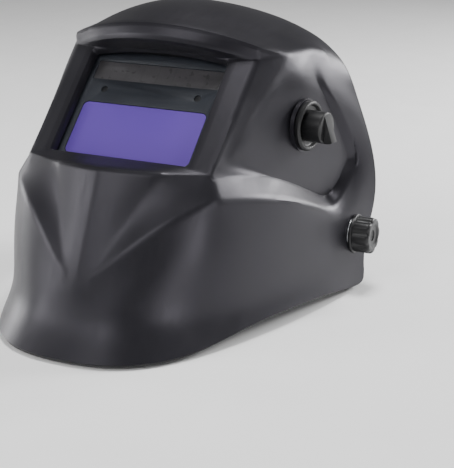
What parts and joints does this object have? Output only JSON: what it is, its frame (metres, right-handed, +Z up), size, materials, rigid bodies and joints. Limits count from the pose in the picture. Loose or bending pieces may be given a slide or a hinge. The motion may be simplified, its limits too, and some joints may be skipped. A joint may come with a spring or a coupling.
{
  "type": "welding helmet",
  "caption": "Auto-darkening welding helmet: faceted shell, slanted filter window, outside shade knob, flip-up ratchet headgear inside.",
  "frame": {"origin": "bottom centre of the whole helmet's box, with the shell standing on its rim", "axes": "+Z up, -Y the way the wearer faces, +X the wearer's left"},
  "size_m": [0.2592, 0.3326, 0.1982],
  "materials": {
    "shell_nylon": "satin, fine grain",
    "black_plastic": "satin",
    "gloss_black": "polished",
    "cartridge_case": "satin slate grey",
    "clear_polycarbonate": "clear",
    "filter_coating": "purple interference coating",
    "liquid_crystal": "green-grey glass",
    "solar_cell": "dark grey cell under clear resin",
    "steel": "zinc plated",
    "circuit_laminate": "solder mask",
    "padding": "foam in knitted cloth",
    "lead_sheath": "matt"
  },
  "bodies": {
    "headgear": {"headband": "black_plastic", "sweatband": "padding", "nape_pad": "padding", "crown_strap_left": "black_plastic", "crown_strap_right": "black_plastic", "crown_peg": "black_plastic", "rear_strap_left": "black_plastic", "rear_strap_right": "black_plastic", "strap_rivet_left": "steel", "strap_rivet_right": "steel", "side_bracket_left": "black_plastic", "side_bracket_right": "black_plastic", "bracket_rivet_left": "steel", "bracket_rivet_right": "steel", "ratchet_housing": "black_plastic", "ratchet_cover": "black_plastic"},
    "carriage": {"pivot_bolt_left": "steel", "pivot_bolt_right": "steel", "slide_plate_left": "black_plastic", "slide_plate_right": "black_plastic", "tilt_stop_left": "black_plastic", "tilt_stop_right": "black_plastic", "pivot_spacer_left": "black_plastic", "pivot_spacer_right": "black_plastic", "friction_washer_left": "steel", "friction_washer_right": "steel"},
    "shell": {"shell": "shell_nylon", "front_cover_lens": "clear_polycarbonate", "cartridge_front_case": "cartridge_case", "cartridge_rear_case": "cartridge_case", "filter_glass": "filter_coating", "liquid_crystal_stack": "liquid_crystal", "solar_panel": "solar_cell", "circuit_board": "circuit_laminate", "light_sensor_left": "gloss_black", "light_sensor_right": "gloss_black", "button_cell_left": "steel", "button_cell_right": "steel", "inner_cover_lens": "clear_polycarbonate", "cartridge_holder": "black_plastic", "shade_lead": "lead_sheath", "shade_bezel": "gloss_black", "shade_nut": "steel", "shade_potentiometer": "steel"},
    "side_knob_left": {"side_knob_left": "gloss_black"},
    "side_knob_right": {"side_knob_right": "gloss_black"},
    "shade_knob": {"shade_knob": "gloss_black"},
    "sensitivity_dial": {"sensitivity_dial": "gloss_black"},
    "delay_dial": {"delay_dial": "gloss_black"},
    "test_button": {"test_button": "gloss_black"},
    "cartridge_latch_left": {"cartridge_latch_left": "black_plastic"},
    "cartridge_latch_right": {"cartridge_latch_right": "black_plastic"},
    "ratchet_knob": {"ratchet_knob": "black_plastic", "ratchet_pinion": "black_plastic"},
    "rack_left": {"rack_left": "black_plastic"},
    "rack_right": {"rack_right": "black_plastic"}
  },
  "joints": [
    {"name": "reach_slide", "type": "slide", "parent": "headgear", "child": "carriage", "axis": [0, 0.9781, -0.2079], "range_m": [-0.007, 0.007]},
    {"name": "shell_flip", "type": "hinge", "parent": "carriage", "child": "shell", "pos_m": [0, 0.0395, 0.0399], "axis": [-1, 0, 0], "range_deg": [0, 60]},
    {"name": "side_knob_left_turn", "type": "hinge", "parent": "carriage", "child": "side_knob_left", "pos_m": [0.113, 0.0395, 0.0399], "axis": [1, 0, 0], "range_deg": [-180, 180]},
    {"name": "side_knob_right_turn", "type": "hinge", "parent": "carriage", "child": "side_knob_right", "pos_m": [-0.113, 0.0395, 0.0399], "axis": [-1, 0, 0], "range_deg": [-180, 180]},
    {"name": "shade_knob_turn", "type": "hinge", "parent": "shell", "child": "shade_knob", "pos_m": [0.092, 0.003, 0.1232], "axis": [0.9925, -0.1219, 0], "range_deg": [0, 270]},
    {"name": "sensitivity_dial_turn", "type": "hinge", "parent": "shell", "child": "sensitivity_dial", "pos_m": [-0.012, -0.02971, 0.14471], "axis": [0, -0.7034, 0.7108], "range_deg": [0, 270]},
    {"name": "delay_dial_turn", "type": "hinge", "parent": "shell", "child": "delay_dial", "pos_m": [0.012, -0.02971, 0.14471], "axis": [0, -0.7034, 0.7108], "range_deg": [0, 270]},
    {"name": "test_button_press", "type": "slide", "parent": "shell", "child": "test_button", "axis": [0, -0.7034, 0.7108], "range_m": [0, 0.001], "stiffness_N_per_m": 400, "springref_m": -0.0002},
    {"name": "cartridge_latch_left_turn", "type": "hinge", "parent": "shell", "child": "cartridge_latch_left", "pos_m": [0.0577, -0.03752, 0.13698], "axis": [0, -0.7034, 0.7108], "range_deg": [0, 90]},
    {"name": "cartridge_latch_right_turn", "type": "hinge", "parent": "shell", "child": "cartridge_latch_right", "pos_m": [-0.0577, -0.03752, 0.13698], "axis": [0, 0.7034, -0.7108], "range_deg": [0, 90]},
    {"name": "ratchet_knob_turn", "type": "hinge", "parent": "headgear", "child": "ratchet_knob", "pos_m": [0, 0.14861, 0.02898], "axis": [0, 0.9781, -0.2079], "range_deg": [-50, 50]},
    {"name": "rack_left_slide", "type": "slide", "parent": "headgear", "child": "rack_left", "axis": [1, 0, 0], "range_m": [-0.0045, 0.0045], "deforming": ["rear_strap_left"]},
    {"name": "rack_right_slide", "type": "slide", "parent": "headgear", "child": "rack_right", "axis": [1, 0, 0], "range_m": [-0.0045, 0.0045], "deforming": ["rear_strap_right"]}
  ],
  "couplings": [
    {"joint": "rack_left_slide", "follows": "ratchet_knob_turn", "m_per_rad": 0.005},
    {"joint": "rack_right_slide", "follows": "ratchet_knob_turn", "m_per_rad": -0.005}
  ]
}
